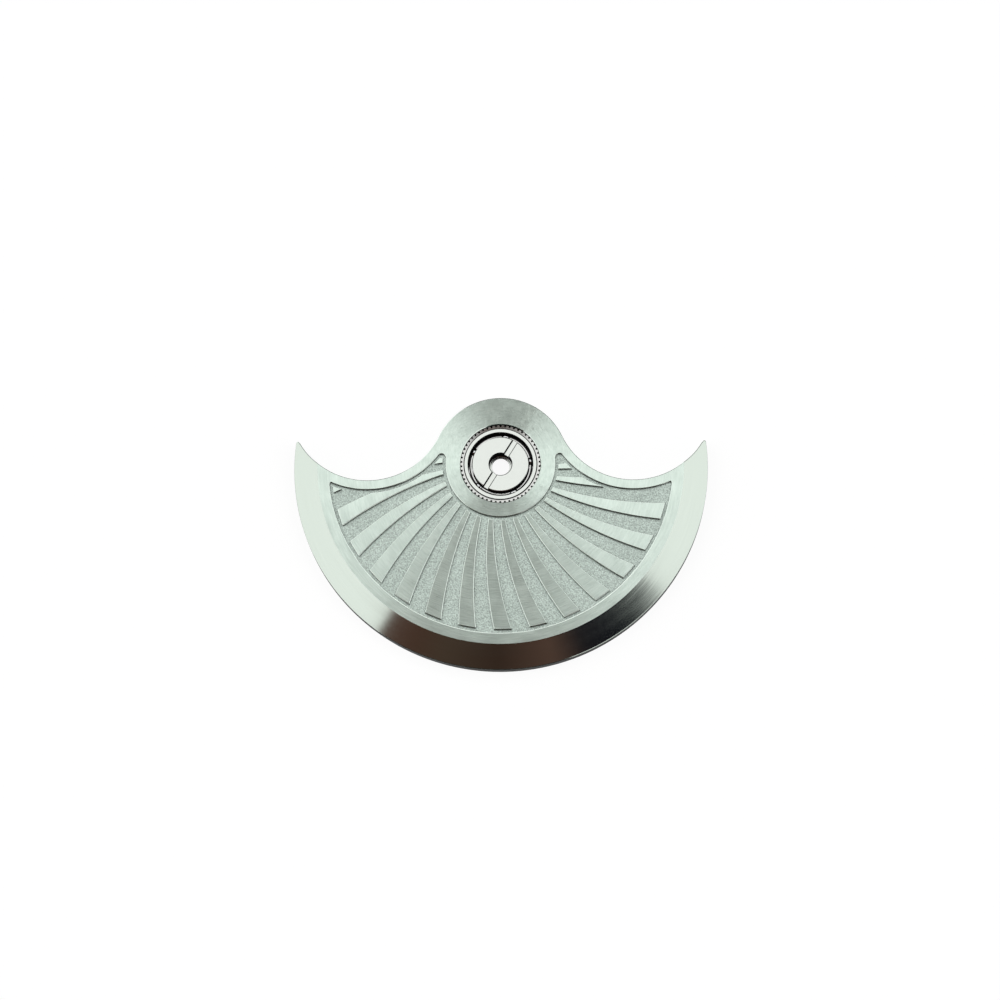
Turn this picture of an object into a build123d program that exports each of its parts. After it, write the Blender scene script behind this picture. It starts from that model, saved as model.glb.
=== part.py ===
from build123d import *
import os
from math import acos, cos, degrees, pi, radians, sin, sqrt

# Automatic watch rotor: a half-moon weight on a ball bearing, lengths in millimetres.
# Origin: on the bearing's axis, at the face by which the inner ring sits on the movement.
# +Z points away from the movement, and the heavy side lies towards -Y.

# Whole rotor
rotor_radius = 13.50
top_height = 1.60  # from the seat to the plate's top face

# Outline of plate and weight: a hub, and two waists tangent to it that end in the tips
hub_ring_width = 1.81  # from the hub's bore to its outer edge
waist_dip = 1.10  # how far the waist reaches below the bearing's axis
tip_height = 1.97  # how far the tips stand above the axis
tip_round = 0.12

# Plate
plate_thickness = 0.60
boss_depth = 0.20  # the boss under the plate that grips the toothed ring
boss_wall = 0.95
bore_chamfer = 0.04

# Rim weight
rim_width = 3.90
rim_gap = 0.10  # the weight's underside above the seat
bevel_width = 1.57
bevel_drop = 0.62
foot_chamfer = 0.10

# Sunken panel in the plate
panel_depth = 0.18
hub_land = 0.95  # flat ring between the hub's bore and the panel
waist_border = 0.63  # raised border along each waist
rim_border = 0.73  # raised flat band inside the bevel
panel_groove = 0.20  # gap between the ribs' ends and the panel's wall
panel_corner_round = 0.10  # at the panel's two outer corners
lobe_angle = 5.5  # degrees, where the panel ends in a rounded lobe beside the hub

# Raised ribs: curved rays, trimmed to the panel
rib_count = 16
rib_pitch_angle = 12.0
rib_first_angle = -183.6  # middle of the first rib's inner end
rib_sweep_angle = 10.9  # how far each rib turns from its inner to its outer end
rib_inner_spread = 5.0  # degrees that a rib covers at its inner end
rib_outer_spread = 6.0
rib_curve_radius = 23.5
least_rib_area = 0.08  # smaller scraps left by the trimming are dropped

# Bearing, worked outwards from the slotted disc
disc_radius = 1.83
disc_recess = 0.17  # the disc's top face below the plate's
disc_chamfer = 0.06
race_gap = 0.27  # open ring between the disc and the outer race
race_wall = 0.29
race_recess = 0.13
race_end_gap = 0.12  # the outer race's lower face above the seat
race_chamfer = 0.03
ball_diameter = 0.65
ball_count = 5
ball_first_angle = 8.3
ball_drop = 0.63  # centres of the balls below the disc's top face
running_clearance = 0.015

# Toothed ring
gear_ring_width = 0.23
gear_recess = 0.15
gear_end_gap = 0.15  # its lower face above the seat
tooth_count = 54
tooth_depth = 0.15
tooth_gap_share = 0.5  # of the pitch, at the tips
tooth_root_gap_share = 0.34  # of the pitch, at the roots

# Inner ring
screw_bore_radius = 0.57
head_bore_radius = 0.73
head_bore_chamfer = 0.03
land_drop = 0.14  # the land that the screw's head presses on, below the balls' centres
land_thickness = 0.12
post_bore_radius = 0.90  # under the land, where the ring sits on its post
spigot_radius = 1.12
spigot_rise = 0.30  # the spigot's end above the balls' centres
spigot_top_gap = 0.02
slot_width = 0.33
slot_depth = 0.18
slot_angle = 58.5
seat_chamfer = 0.04

# Cage
cage_side_gap = 0.04
cage_band = 0.15  # height of the closed band under the balls
cage_rise = 0.22  # how far the cage's bridges reach above the balls' centres

cut_overrun = 0.50  # cutters reach past the faces that they cut

# Radii that follow from these
plate_edge_radius = rotor_radius - bevel_width
weight_inner_radius = rotor_radius - rim_width
race_bore_radius = disc_radius + race_gap
race_radius = race_bore_radius + race_wall
gear_radius = race_radius + gear_ring_width
hub_radius = gear_radius + hub_ring_width
panel_inner_radius = gear_radius + hub_land
panel_outer_radius = plate_edge_radius - rim_border
ball_circle_radius = disc_radius + race_gap / 2
groove_radius = ball_diameter / 2 + running_clearance

# Heights that follow from these
plate_bottom = top_height - plate_thickness
boss_bottom = plate_bottom - boss_depth
bevel_low = top_height - bevel_drop
disc_top = top_height - disc_recess
race_top = top_height - race_recess
gear_top = top_height - gear_recess
ball_height = disc_top - ball_drop
land_height = ball_height - land_drop
land_bottom = land_height - land_thickness
spigot_height = ball_height + spigot_rise
spigot_ceiling = spigot_height + spigot_top_gap

# Waist circles: each touches the hub's circle, dips below the axis and ends in a tip.
# Their radius is the root of a quadratic: squares * radius**2 - lines * radius + rest = 0.
tip_reach = sqrt(rotor_radius**2 - tip_height**2)
spread = rotor_radius**2 + hub_radius**2 + 2 * tip_height * waist_dip
rise = 2 * (hub_radius - tip_height)
squares = rise**2
lines = 8 * tip_reach**2 * (hub_radius + waist_dip) - 2 * spread * rise
rest = spread**2 - 4 * tip_reach**2 * (hub_radius**2 - waist_dip**2)
waist_radius = 2 * rest / (lines + sqrt(lines**2 - 4 * squares * rest))

# Their centres lie hub + waist radius away from the axis
waist_distance = hub_radius + waist_radius
waist_y = waist_radius - waist_dip
waist_x = sqrt(waist_distance**2 - waist_y**2)
waist_angle = degrees(acos(waist_x / waist_distance))


def polar(radius, angle):
    return (radius * cos(radians(angle)), radius * sin(radians(angle)))


def mirrored(point):
    return (-point[0], point[1])


def waist_crossing(radius, inset):
    # Angle at which a circle about the axis meets a waist circle widened by the inset
    reach = waist_radius + inset
    cosine = (radius**2 + waist_distance**2 - reach**2) / (2 * radius * waist_distance)
    return waist_angle - degrees(acos(cosine))


def draw_outline(radius):
    # Closed outline of the rotor out to one radius: hub, two waists and the outer arc
    tangent = polar(hub_radius, waist_angle)
    corner = polar(radius, waist_crossing(radius, 0))
    low = (waist_x, -waist_dip)
    with BuildLine() as outline:
        ThreePointArc(mirrored(tangent), (0, hub_radius), tangent)
        ThreePointArc(tangent, low, corner)
        ThreePointArc(corner, (0, -radius), mirrored(corner))
        ThreePointArc(mirrored(corner), mirrored(low), mirrored(tangent))
    make_face(outline.edges())


def draw_panel(inset, mode=Mode.ADD):
    # Outline of the sunken panel, moved inwards by the inset
    inner = panel_inner_radius
    border = waist_radius + waist_border
    # A lobe's circle touches the hub land's circle and the waist border's circle
    between = waist_distance * cos(radians(waist_angle - lobe_angle))
    lobe_square = waist_distance**2 + inner**2 - 2 * inner * between - border**2
    lobe_radius = lobe_square / (2 * (border + between - inner))
    lobe_x, lobe_y = polar(inner + lobe_radius, lobe_angle)
    towards_waist = sqrt((waist_x - lobe_x) ** 2 + (waist_y - lobe_y) ** 2)
    to_waist = ((waist_x - lobe_x) / towards_waist, (waist_y - lobe_y) / towards_waist)
    rounding = lobe_radius - inset
    hub_touch = polar(inner + inset, lobe_angle)
    lobe_top = (lobe_x, lobe_y + rounding)
    waist_touch = (lobe_x + rounding * to_waist[0], lobe_y + rounding * to_waist[1])
    low = (waist_x, waist_y - border - inset)
    outer = panel_outer_radius - inset
    corner = polar(outer, waist_crossing(outer, waist_border + inset))
    with BuildLine() as outline:
        ThreePointArc(mirrored(hub_touch), (0, -inner - inset), hub_touch)
        ThreePointArc(hub_touch, lobe_top, waist_touch)
        ThreePointArc(waist_touch, low, corner)
        ThreePointArc(corner, (0, -outer), mirrored(corner))
        ThreePointArc(mirrored(corner), mirrored(low), mirrored(waist_touch))
        ThreePointArc(mirrored(waist_touch), mirrored(lobe_top), mirrored(hub_touch))
    make_face(outline.edges(), mode=mode)


def draw_rib(index):
    # One curved ray from the panel's inner wall to its outer wall
    inner_angle = rib_first_angle + index * rib_pitch_angle
    outer_angle = inner_angle + rib_sweep_angle
    inner_left = polar(panel_inner_radius, inner_angle - rib_inner_spread / 2)
    inner_right = polar(panel_inner_radius, inner_angle + rib_inner_spread / 2)
    outer_left = polar(panel_outer_radius, outer_angle - rib_outer_spread / 2)
    outer_right = polar(panel_outer_radius, outer_angle + rib_outer_spread / 2)
    with BuildLine() as outline:
        RadiusArc(inner_left, outer_left, -rib_curve_radius)
        Line(outer_left, outer_right)
        RadiusArc(outer_right, inner_right, rib_curve_radius)
        Line(inner_right, inner_left)
    make_face(outline.edges())


# Tops of the raised ribs, trimmed to stop short of the panel's walls
with BuildSketch(Plane.XY.offset(top_height)) as rib_tops:
    for rib in range(rib_count):
        draw_rib(rib)
    draw_panel(panel_groove, mode=Mode.INTERSECT)
ribs = [face for face in rib_tops.sketch_local.faces() if face.area > least_rib_area]
print("ribs", len(ribs), "of areas", [round(face.area, 2) for face in ribs], "mm2")

# Rotor plate
with BuildPart() as rotor_plate:
    with BuildSketch(Plane.XY.offset(plate_bottom)):
        draw_outline(plate_edge_radius)
    extrude(amount=plate_thickness)
    with BuildSketch(Plane.XY.offset(boss_bottom)):
        Circle(gear_radius + boss_wall)
    extrude(amount=boss_depth)
    with BuildSketch(Plane.XY.offset(top_height)):
        Circle(gear_radius)
    extrude(amount=-plate_thickness - boss_depth, mode=Mode.SUBTRACT)
    bore_rim = rotor_plate.edges().filter_by(GeomType.CIRCLE).group_by(Axis.Z)[-1]
    chamfer(bore_rim.sort_by(SortBy.RADIUS)[0], bore_chamfer)

    with BuildSketch(Plane.XY.offset(top_height)) as panel:
        draw_panel(0)
        corners = panel.vertices().sort_by(SortBy.DISTANCE)[-2:]
        fillet(corners, panel_corner_round)
        add(ribs, mode=Mode.SUBTRACT)
    extrude(amount=-panel_depth, mode=Mode.SUBTRACT)
rotor_plate.part.label = "rotor_plate"

# Rim weight: a turned ring, cut to the rotor's outline
with BuildPart() as rim_weight:
    with BuildSketch(Plane.XZ):
        with BuildLine():
            Polyline(
                (weight_inner_radius, rim_gap),
                (rotor_radius - foot_chamfer, rim_gap),
                (rotor_radius, rim_gap + foot_chamfer),
                (rotor_radius, bevel_low),
                (plate_edge_radius, top_height),
                (plate_edge_radius, plate_bottom),
                (weight_inner_radius, plate_bottom),
                close=True,
            )
        make_face()
    revolve(axis=Axis.Z)
    with BuildSketch(Plane.XY.offset(rim_gap)) as weight_outline:
        draw_outline(rotor_radius)
        tips = weight_outline.vertices().sort_by(SortBy.DISTANCE)[-2:]
        fillet(tips, tip_round)
    extrude(amount=top_height - rim_gap, mode=Mode.INTERSECT)
rim_weight.part.label = "rim_weight"

# Toothed ring: pressed into the hub above, and the driving pinion below it
with BuildPart() as drive_gear:
    pitch = 2 * pi * gear_radius / tooth_count
    tip_gap = pitch * tooth_gap_share
    root_gap = pitch * tooth_root_gap_share
    with BuildSketch(Plane.XY.offset(gear_end_gap)):
        Circle(gear_radius)
        with PolarLocations(gear_radius - tooth_depth, tooth_count):
            Polygon(
                (0, -root_gap / 2),
                (tooth_depth, -tip_gap / 2),
                (tooth_depth + cut_overrun, -tip_gap / 2),
                (tooth_depth + cut_overrun, tip_gap / 2),
                (tooth_depth, tip_gap / 2),
                (0, root_gap / 2),
                align=None,
                mode=Mode.SUBTRACT,
            )
        Circle(race_radius, mode=Mode.SUBTRACT)
    extrude(amount=gear_top - gear_end_gap)
drive_gear.part.label = "drive_gear"

# Outer race: a plain ring with the balls' groove turned in its bore
with BuildPart() as outer_race:
    groove_half = sqrt(groove_radius**2 - (race_bore_radius - ball_circle_radius) ** 2)
    with BuildSketch(Plane.XZ):
        with BuildLine():
            Polyline(
                (race_bore_radius, ball_height - groove_half),
                (race_bore_radius, race_end_gap),
                (race_radius, race_end_gap),
                (race_radius, race_top - race_chamfer),
                (race_radius - race_chamfer, race_top),
                (race_bore_radius + race_chamfer, race_top),
                (race_bore_radius, race_top - race_chamfer),
                (race_bore_radius, ball_height + groove_half),
            )
            ThreePointArc(
                (race_bore_radius, ball_height + groove_half),
                (ball_circle_radius + groove_radius, ball_height),
                (race_bore_radius, ball_height - groove_half),
            )
        make_face()
    revolve(axis=Axis.Z)
outer_race.part.label = "outer_race"

# The inner ring is split at the balls' centres, so its two halves share the groove's arc
inner_groove_half = sqrt(groove_radius**2 - (ball_circle_radius - disc_radius) ** 2)
groove_bottom_radius = ball_circle_radius - groove_radius
groove_mid = (
    ball_circle_radius - groove_radius * cos(radians(45)),
    groove_radius * sin(radians(45)),
)

# Upper half of the inner ring: the slotted nut
with BuildPart() as inner_ring_nut:
    with BuildSketch(Plane.XZ):
        with BuildLine():
            Polyline(
                (disc_radius, ball_height + inner_groove_half),
                (disc_radius, disc_top - disc_chamfer),
                (disc_radius - disc_chamfer, disc_top),
                (head_bore_radius + head_bore_chamfer, disc_top),
                (head_bore_radius, disc_top - head_bore_chamfer),
                (head_bore_radius, spigot_ceiling),
                (spigot_radius, spigot_ceiling),
                (spigot_radius, ball_height),
                (groove_bottom_radius, ball_height),
            )
            ThreePointArc(
                (groove_bottom_radius, ball_height),
                (groove_mid[0], ball_height + groove_mid[1]),
                (disc_radius, ball_height + inner_groove_half),
            )
        make_face()
    revolve(axis=Axis.Z)
    with BuildSketch(Plane.XY.offset(disc_top)):
        SlotOverall(
            2 * disc_radius + 2 * cut_overrun, slot_width, rotation=slot_angle
        )
    extrude(amount=-slot_depth, mode=Mode.SUBTRACT)
inner_ring_nut.part.label = "inner_ring_nut"

# Lower half of the inner ring: post bore, screw land and the spigot that carries the nut
with BuildPart() as inner_ring_base:
    with BuildSketch(Plane.XZ):
        with BuildLine():
            Polyline(
                (disc_radius, ball_height - inner_groove_half),
                (disc_radius, seat_chamfer),
                (disc_radius - seat_chamfer, 0),
                (post_bore_radius, 0),
                (post_bore_radius, land_bottom),
                (screw_bore_radius, land_bottom),
                (screw_bore_radius, land_height),
                (head_bore_radius, land_height),
                (head_bore_radius, spigot_height),
                (spigot_radius, spigot_height),
                (spigot_radius, ball_height),
                (groove_bottom_radius, ball_height),
            )
            ThreePointArc(
                (groove_bottom_radius, ball_height),
                (groove_mid[0], ball_height - groove_mid[1]),
                (disc_radius, ball_height - inner_groove_half),
            )
        make_face()
    revolve(axis=Axis.Z)
inner_ring_base.part.label = "inner_ring_base"

# Cage: a ring between the flanges, with a ball-shaped pocket for each ball
with BuildPart() as ball_cage:
    cage_bottom = ball_height - groove_radius - cage_band
    with BuildSketch(Plane.XY.offset(cage_bottom)):
        Circle(race_bore_radius - cage_side_gap)
        Circle(disc_radius + cage_side_gap, mode=Mode.SUBTRACT)
    extrude(amount=ball_height + cage_rise - cage_bottom)
    with Locations(Location((0, 0, ball_height))):
        with PolarLocations(ball_circle_radius, ball_count, ball_first_angle):
            Sphere(groove_radius, mode=Mode.SUBTRACT)
ball_cage.part.label = "ball_cage"

# Balls, numbered anticlockwise from the one at the right
balls = []
for number in range(ball_count):
    ball_x, ball_y = polar(ball_circle_radius, ball_first_angle + number * 360 / ball_count)
    with BuildPart() as ball:
        with Locations((ball_x, ball_y, ball_height)):
            Sphere(ball_diameter / 2)
    ball.part.label = f"ball_{number + 1}"
    balls.append(ball.part)

pieces = [
    rotor_plate.part,
    rim_weight.part,
    drive_gear.part,
    outer_race.part,
    inner_ring_nut.part,
    inner_ring_base.part,
    ball_cage.part,
] + balls

os.makedirs("parts", exist_ok=True)
for piece in pieces:
    export_step(piece, f"parts/{piece.label}.step")
    print(piece.label, "volume", round(piece.volume, 4), "mm3")

ball_circle = 2 * ball_circle_radius
cage_ratio = (ball_circle + ball_diameter) / (2 * ball_circle)
ball_ratio = (ball_circle**2 - ball_diameter**2) / (2 * ball_circle * ball_diameter)
print("cage turns per rotor turn", round(cage_ratio, 6))
print("ball turns in the cage per rotor turn", round(ball_ratio, 6))
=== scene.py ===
# %% [markdown]
# An automatic watch's rotor, 27 mm across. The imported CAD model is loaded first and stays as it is:
# its bodies carry every piece made here, and its joints move them.

# %% Load the frame
from math import acos, asin, atan2, cos, degrees, hypot, pi, radians, sin, sqrt, tan

import bmesh
import bpy
from mathutils import Matrix, Vector


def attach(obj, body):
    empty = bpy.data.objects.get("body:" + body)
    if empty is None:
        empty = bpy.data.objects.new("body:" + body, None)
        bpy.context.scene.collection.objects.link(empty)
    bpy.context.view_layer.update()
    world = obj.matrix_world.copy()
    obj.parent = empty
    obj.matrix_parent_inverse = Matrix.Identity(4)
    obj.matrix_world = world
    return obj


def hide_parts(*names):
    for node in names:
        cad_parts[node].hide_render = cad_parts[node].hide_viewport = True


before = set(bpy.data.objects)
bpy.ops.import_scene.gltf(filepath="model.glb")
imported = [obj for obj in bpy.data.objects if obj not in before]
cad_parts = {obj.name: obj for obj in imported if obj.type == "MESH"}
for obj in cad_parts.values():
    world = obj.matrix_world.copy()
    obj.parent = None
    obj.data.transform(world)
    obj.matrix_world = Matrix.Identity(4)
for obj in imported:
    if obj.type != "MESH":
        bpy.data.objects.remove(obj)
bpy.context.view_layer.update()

# %% [markdown]
# All meshes are drawn in millimetres, because Blender's booleans work best with numbers near one. They are
# brought to metres at the end. The sizes here are shared by pieces that fit together. The others stand where
# they are first needed.

# %% Shared sizes in millimetres
MM = 0.001
rotor_radius = 13.50
top_height = 1.60
plate_bottom = 1.00
bevel_radius = 11.93
gear_radius = 2.62
boss_bottom = 0.80
edge_round = 0.04
print("a rotor", 2 * rotor_radius, "mm wide and", top_height, "mm high")

# %% [markdown]
# The outline is made of circles only. Each waist circle touches the hub, dips below the axis and ends in a
# tip, which gives its radius as the root of a quadratic.

# %% Waist circles
hub_radius = 4.43
waist_dip = 1.10
tip_height = 1.97
tip_reach = sqrt(rotor_radius**2 - tip_height**2)
spread = rotor_radius**2 + hub_radius**2 + 2 * tip_height * waist_dip
rise = 2 * (hub_radius - tip_height)
middle_term = 8 * tip_reach**2 * (hub_radius + waist_dip) - 2 * spread * rise
last_term = spread**2 - 4 * tip_reach**2 * (hub_radius**2 - waist_dip**2)
waist_radius = 2 * last_term / (middle_term + sqrt(middle_term**2 - 4 * rise**2 * last_term))
waist_distance = hub_radius + waist_radius
waist_y = waist_radius - waist_dip
waist_x = sqrt(waist_distance**2 - waist_y**2)
waist = waist_x, waist_y
waist_angle = degrees(acos(waist_x / waist_distance))
print("waist circles of radius", round(waist_radius, 4), "mm at", round(waist_x, 4), round(waist_y, 4))


def polar(radius, angle):
    return radius * cos(radians(angle)), radius * sin(radians(angle))


def towards(start, end, length):
    """The point at a length from one point towards another."""
    whole = hypot(end[0] - start[0], end[1] - start[1])
    return tuple(a + (b - a) * length / whole for a, b in zip(start, end))


def crossing(radius, reach):
    """Angle at which a circle about the axis meets the right waist's circle widened to a reach."""
    cosine = (radius**2 + waist_distance**2 - reach**2) / (2 * radius * waist_distance)
    return waist_angle - degrees(acos(cosine))


def arc_through(centre, radius, start, end, count):
    """Points on a circle from one point to another by the shorter way, without the last."""
    first = atan2(start[1] - centre[1], start[0] - centre[0])
    turn = atan2(end[1] - centre[1], end[0] - centre[0]) - first
    turn = (turn + pi) % (2 * pi) - pi
    angles = [first + turn * step / count for step in range(count)]
    return [(centre[0] + radius * cos(angle), centre[1] + radius * sin(angle)) for angle in angles]


def round_arc(radius, start, end, count):
    """Points on a circle about the axis from one angle to another, without the last."""
    return [polar(radius, start + (end - start) * step / count) for step in range(count)]


def flipped(points):
    return [(-x, y) for x, y in points]


# %% [markdown]
# Two closed loops give the plate its form: the outline and the sunken panel. Both take an inset, so the same
# function also draws the slightly smaller loops that round an edge off.

# %% Loop of the outline
HUB_STEPS, WAIST_STEPS, RIM_STEPS = 180, 160, 420


def outline_loop(inset):
    """Hub, right waist, outer arc and left waist, the outer arc always at the bevel's edge."""
    hub, reach = hub_radius - inset, waist_radius + inset
    touch = polar(hub, waist_angle)
    corner_angle = crossing(bevel_radius, reach)
    corner = polar(bevel_radius, corner_angle)
    right = arc_through(waist, reach, touch, corner, WAIST_STEPS)
    low = round_arc(bevel_radius, corner_angle, -180 - corner_angle, RIM_STEPS)
    left = flipped(arc_through(waist, reach, corner, touch, WAIST_STEPS))
    top = round_arc(hub, 180 - waist_angle, waist_angle, HUB_STEPS)
    return right + low + left + top


print("outline of", len(outline_loop(0)), "points")

# %% Loop of the panel
panel_floor = 1.42
panel_inner_radius = 3.57
panel_outer_radius = 11.20
panel_corner_round = 0.10
waist_border = 0.63
lobe_angle = 5.5
LOBE_STEPS, BORDER_STEPS, CORNER_STEPS = (20, 24), 120, 12


def panel_loop(inset):
    """The panel's wall: along the hub, round a lobe, along the waist, round a corner and along the rim."""
    inner, outer, border = panel_inner_radius, panel_outer_radius, waist_radius + waist_border
    apart = waist_distance * cos(radians(waist_angle - lobe_angle))
    lobe_square = waist_distance**2 + inner**2 - 2 * inner * apart - border**2
    lobe_radius = lobe_square / (2 * (border + apart - inner))
    lobe = polar(inner + lobe_radius, lobe_angle)
    lobe_low = polar(inner + inset, lobe_angle)
    lobe_top = lobe[0], lobe[1] + lobe_radius - inset
    lobe_end = towards(lobe, waist, lobe_radius - inset)
    # The corner's circle touches the outer arc and the border from inside, and a large inset leaves it sharp
    corner_round = max(panel_corner_round - inset, 0.0)
    far = max(panel_corner_round, inset)
    corner = polar(outer - far, crossing(outer - far, border + far))
    corner_start = towards(waist, corner, border + inset)
    rim_angle = degrees(atan2(corner[1], corner[0]))
    corner_end = polar(outer - inset, rim_angle)
    right = arc_through(lobe, lobe_radius - inset, lobe_low, lobe_top, LOBE_STEPS[0])
    right += arc_through(lobe, lobe_radius - inset, lobe_top, lobe_end, LOBE_STEPS[1])
    right += arc_through(waist, border + inset, lobe_end, corner_start, BORDER_STEPS)
    if corner_round:
        right += arc_through(corner, corner_round, corner_start, corner_end, CORNER_STEPS)
    low = round_arc(outer - inset, rim_angle, -180 - rim_angle, RIM_STEPS)
    left = [corner_end] + list(reversed(right[1:]))
    top = round_arc(inner + inset, -180 - lobe_angle, lobe_angle, HUB_STEPS)
    return right + low + flipped(left) + top


print("panel of", len(panel_loop(0)), "points")

# %% [markdown]
# A machined edge is never perfectly sharp: a tiny rounding catches the light as a thin line. Here each
# rounding is a few narrow strips between loops, the first strip hardly tilted.

# %% Strips, fills and turned rings
ROUNDING = [(1.0, 0.0), (0.45, 0.11), (0.12, 0.42), (0.0, 1.0)]  # shares of the rounding: inset and drop
OUTLINE_ROUNDING = [(1.0, 0.0), (0.35, 0.30), (0.0, 1.0)]  # steeper, so that it mirrors the dim back wall
MOST_OF_A_SIDE = 0.4  # share of a side that one corner's rounding may take


def add_loop(mesh, points, height):
    return [mesh.verts.new((x, y, height)) for x, y in points]


def add_strip(mesh, first, second, closed=True):
    """A strip of quads between two rows of as many points, which a closed strip also joins end to end."""
    count = len(first)
    for step in range(count if closed else count - 1):
        after = (step + 1) % count
        mesh.faces.new((first[step], first[after], second[after], second[step]))


def add_prism(mesh, low, high):
    """A closed prism between two loops."""
    add_strip(mesh, low, high)
    mesh.faces.new(high)
    mesh.faces.new(list(reversed(low)))


def fill_between(mesh, *loops):
    """Fills the flat region between closed loops with triangles."""
    edges = []
    for loop in loops:
        for step, vert in enumerate(loop):
            after = loop[(step + 1) % len(loop)]
            edges.append(mesh.edges.get((vert, after)) or mesh.edges.new((vert, after)))
    bmesh.ops.triangle_fill(mesh, use_beauty=True, use_dissolve=False, edges=edges)


def eased(profile, rounding, closed=True):
    """A profile with its corners rounded off by three points each. An open one's two ends are left out."""
    points = [Vector(point) for point in profile]
    made = []
    for step in range(len(points)) if closed else range(1, len(points) - 1):
        here = points[step]
        back, ahead = points[step - 1] - here, points[(step + 1) % len(points)] - here
        cut = min(rounding, back.length * MOST_OF_A_SIDE, ahead.length * MOST_OF_A_SIDE)
        start, end = here + back.normalized() * cut, here + ahead.normalized() * cut
        made += [start, (start + 2 * here + end) / 4, end]
    return [tuple(point) for point in made]


def mesh_object(name, mesh):
    """Puts a bmesh into an object of its own."""
    data = bpy.data.meshes.new(name)
    mesh.to_mesh(data)
    mesh.free()
    made = bpy.data.objects.new(name, data)
    bpy.context.scene.collection.objects.link(made)
    return made


def solid_object(name, mesh, merged=0.0):
    """An object from a closed mesh, its points merged within a distance and its faces turned outwards."""
    if merged:
        bmesh.ops.remove_doubles(mesh, verts=mesh.verts, dist=merged)
    bmesh.ops.recalc_face_normals(mesh, faces=mesh.faces)
    return mesh_object(name, mesh)


def turned(name, profile, segments=240):
    """An object turned about the axis from a closed profile of radius and height."""
    mesh = bmesh.new()
    rings = [add_loop(mesh, round_arc(radius, 0, 360, segments), height) for radius, height in profile]
    for ring, following in zip(rings, rings[1:] + rings[:1]):
        add_strip(mesh, ring, following)
    return solid_object(name, mesh)


def evaluated(source):
    """Applies an object's modifiers and gives it the plain mesh that results."""
    bpy.context.view_layer.update()
    depsgraph = bpy.context.evaluated_depsgraph_get()
    plain = bpy.data.meshes.new_from_object(source.evaluated_get(depsgraph), depsgraph=depsgraph)
    source.modifiers.clear()
    source.data = plain
    return source


# %% [markdown]
# Repeated forms come from Geometry Nodes, and finishes from shader nodes. A Wire stands for what comes out of
# a node. Sums of wires and numbers are written like any other sum, and each + or * in them becomes one node.

# %% Wires between nodes
class Wire:
    """What comes out of a node: a number, a vector, a colour or a mesh."""

    def __init__(self, socket):
        self.socket = socket

    def __add__(self, other):
        return combined("ADD", self, other)

    def __sub__(self, other):
        return combined("SUBTRACT", self, other)

    def __mul__(self, other):
        return combined("MULTIPLY", self, other)

    def __truediv__(self, other):
        return combined("DIVIDE", self, other)

    def __rtruediv__(self, other):
        return combined("DIVIDE", other, self)

    def __pow__(self, other):
        return combined("POWER", self, other)


def connect(value, socket):
    """Links a wire, or each of a list of wires, to an input. A plain value is written into it."""
    if isinstance(value, list):
        for wire in value:
            connect(wire, socket)
    elif isinstance(value, Wire):
        socket.id_data.links.new(value.socket, socket)
    else:
        socket.default_value = value


def add_node(tree, kind, *values, settings=None, **named):
    """Adds a node, sets its properties and feeds its inputs, in order or by name (spaces as underscores)."""
    node = tree.nodes.new(kind)
    for label, value in (settings or {}).items():
        setattr(node, label, value)
    for socket, value in zip(node.inputs, values):
        connect(value, socket)
    for label, value in named.items():
        connect(value, node.inputs[label.replace("_", " ")])
    return node


def wired(tree, kind, *values, output=0, **named):
    """Adds a node in the same way and gives the wire from one of its outputs."""
    return Wire(add_node(tree, kind, *values, **named).outputs[output])


def tree_of(*values):
    """The tree of the first wire among some values."""
    return next(value.socket.id_data for value in values if isinstance(value, Wire))


def number_math(operation, *values):
    return wired(tree_of(*values), "ShaderNodeMath", *values, settings={"operation": operation})


def vector_math(operation, first, second=None):
    node = add_node(tree_of(first, second), "ShaderNodeVectorMath", first, settings={"operation": operation})
    if second is not None:
        connect(second, node.inputs["Scale" if operation == "SCALE" else 1])
    return Wire(node.outputs[1 if operation in ("LENGTH", "DOT_PRODUCT") else 0])


def is_vector(value):
    return value.socket.type == "VECTOR" if isinstance(value, Wire) else isinstance(value, tuple)


def combined(operation, first, second):
    """One node for two numbers, for two vectors, or for a vector times a number."""
    if not is_vector(first):
        return number_math(operation, first, second)
    return vector_math(operation if is_vector(second) else "SCALE", first, second)


def split(wire):
    """The three numbers of a vector."""
    return [Wire(output) for output in add_node(tree_of(wire), "ShaderNodeSeparateXYZ", wire).outputs]


def vector(x=0.0, y=0.0, z=0.0):
    return wired(tree_of(x, y, z), "ShaderNodeCombineXYZ", x, y, z)


def polar_wire(radius, angle):
    """A point at a radius and an angle in degrees, as polar() gives for plain numbers."""
    turn = number_math("RADIANS", angle)
    return vector(radius * number_math("COSINE", turn), radius * number_math("SINE", turn))


# %% [markdown]
# A tree of nodes is built once and used with other values again, so each of its sizes is a named input.

# %% Trees with named inputs
SOCKETS = {int: "NodeSocketInt", float: "NodeSocketFloat", tuple: "NodeSocketVector",
           bpy.types.Object: "NodeSocketObject", bpy.types.Material: "NodeSocketMaterial"}


def new_tree(name, kind, values):
    """A tree with a named input for each value, and the wires that come from these inputs."""
    tree = bpy.data.node_groups.new(name, kind)
    if kind == "GeometryNodeTree":
        for side in ("INPUT", "OUTPUT"):
            tree.interface.new_socket("Geometry", in_out=side, socket_type="NodeSocketGeometry")
    for label, value in values.items():
        made = tree.interface.new_socket(label, in_out="INPUT", socket_type=SOCKETS[type(value)])
        if isinstance(value, (int, float)):
            made.default_value = value
    tree.nodes.new("NodeGroupOutput")
    entry = tree.nodes.new("NodeGroupInput")
    return tree, {label: Wire(entry.outputs[label]) for label in values}


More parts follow.
